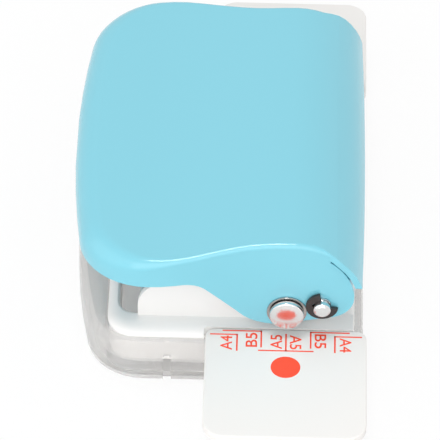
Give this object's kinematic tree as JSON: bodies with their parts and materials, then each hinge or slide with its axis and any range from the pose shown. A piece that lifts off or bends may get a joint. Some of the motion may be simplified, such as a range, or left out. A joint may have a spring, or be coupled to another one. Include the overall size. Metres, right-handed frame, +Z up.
{
  "type": "loose-leaf paper punch",
  "caption": "Compact lever-operated loose-leaf hole punch: flared press lever on a hinge shaft, sprung row of punches, clear chip tray and plug-in paper gauge plates at both ends.",
  "frame": {"origin": "bottom centre of the bounding box, on the table under the middle of the row of punches' length", "axes": "+Z up, +Y along the row of punches, +X towards the lever's hinge and the side where the paper goes in; the lever's free end is at -X"},
  "size_m": [0.0554, 0.1214, 0.0351],
  "materials": {
    "clear_plastic": "clear moulded plastic",
    "white_plastic": "satin white moulded plastic",
    "gauge_plastic": "satin white plastic sheet with red-orange print",
    "blue_plastic": "satin pale blue moulded plastic",
    "white_paint": "white powder coat",
    "die_steel": "zinc-plated steel",
    "punch_steel": "ground tool steel",
    "spring_steel": "drawn spring wire",
    "screw_steel": "zinc-plated screw",
    "chrome_pin": "polished plating",
    "black_steel": "blackened spring steel"
  },
  "bodies": {
    "tray": {"chip_tray": "clear_plastic"},
    "base": {"deck": "white_plastic", "die_plate": "die_steel", "paper_stop": "die_steel", "punch_bracket": "white_paint", "bracket_screws": "screw_steel", "pivot_shaft": "chrome_pin", "e_clips": "black_steel", "pivot_washers": "die_steel", "return_spring_1": "spring_steel", "return_spring_2": "spring_steel", "return_spring_3": "spring_steel", "return_spring_4": "spring_steel", "return_spring_5": "spring_steel", "return_spring_6": "spring_steel"},
    "lever": {"lever_shell": "blue_plastic", "press_pin_near": "chrome_pin", "press_pin_far": "chrome_pin", "press_rings": "chrome_pin"},
    "ram": {"punch_ram": "die_steel", "punch_1": "punch_steel", "punch_2": "punch_steel", "punch_3": "punch_steel", "punch_4": "punch_steel", "punch_5": "punch_steel", "punch_6": "punch_steel"},
    "gauge_plate_near": {"gauge_near": "gauge_plastic"},
    "gauge_plate_far": {"gauge_far": "gauge_plastic"}
  },
  "joints": [
    {"name": "lift_off_tray", "type": "slide", "parent": "tray", "child": "base", "axis": [0, 0, 1], "range_m": [0, 0.014]},
    {"name": "lever_press", "type": "hinge", "parent": "base", "child": "lever", "pos_m": [0.0192, 0, 0.0204], "axis": [0, -1, 0], "range_deg": [0, 12.5], "stiffness_Nm_per_rad": 0.12, "springref_deg": -22.92},
    {"name": "ram_stroke", "type": "slide", "parent": "base", "child": "ram", "axis": [0, 0, -1], "range_m": [0, 0.00136], "deforming": ["return_spring_1", "return_spring_2", "return_spring_3", "return_spring_4", "return_spring_5", "return_spring_6"]},
    {"name": "gauge_near_pull", "type": "slide", "parent": "base", "child": "gauge_plate_near", "axis": [0, -1, 0], "range_m": [0, 0.012]},
    {"name": "gauge_far_pull", "type": "slide", "parent": "base", "child": "gauge_plate_far", "axis": [0, 1, 0], "range_m": [0, 0.012]}
  ],
  "couplings": [
    {"joint": "ram_stroke", "follows": "lever_press", "m_per_rad": 0.0062313}
  ]
}
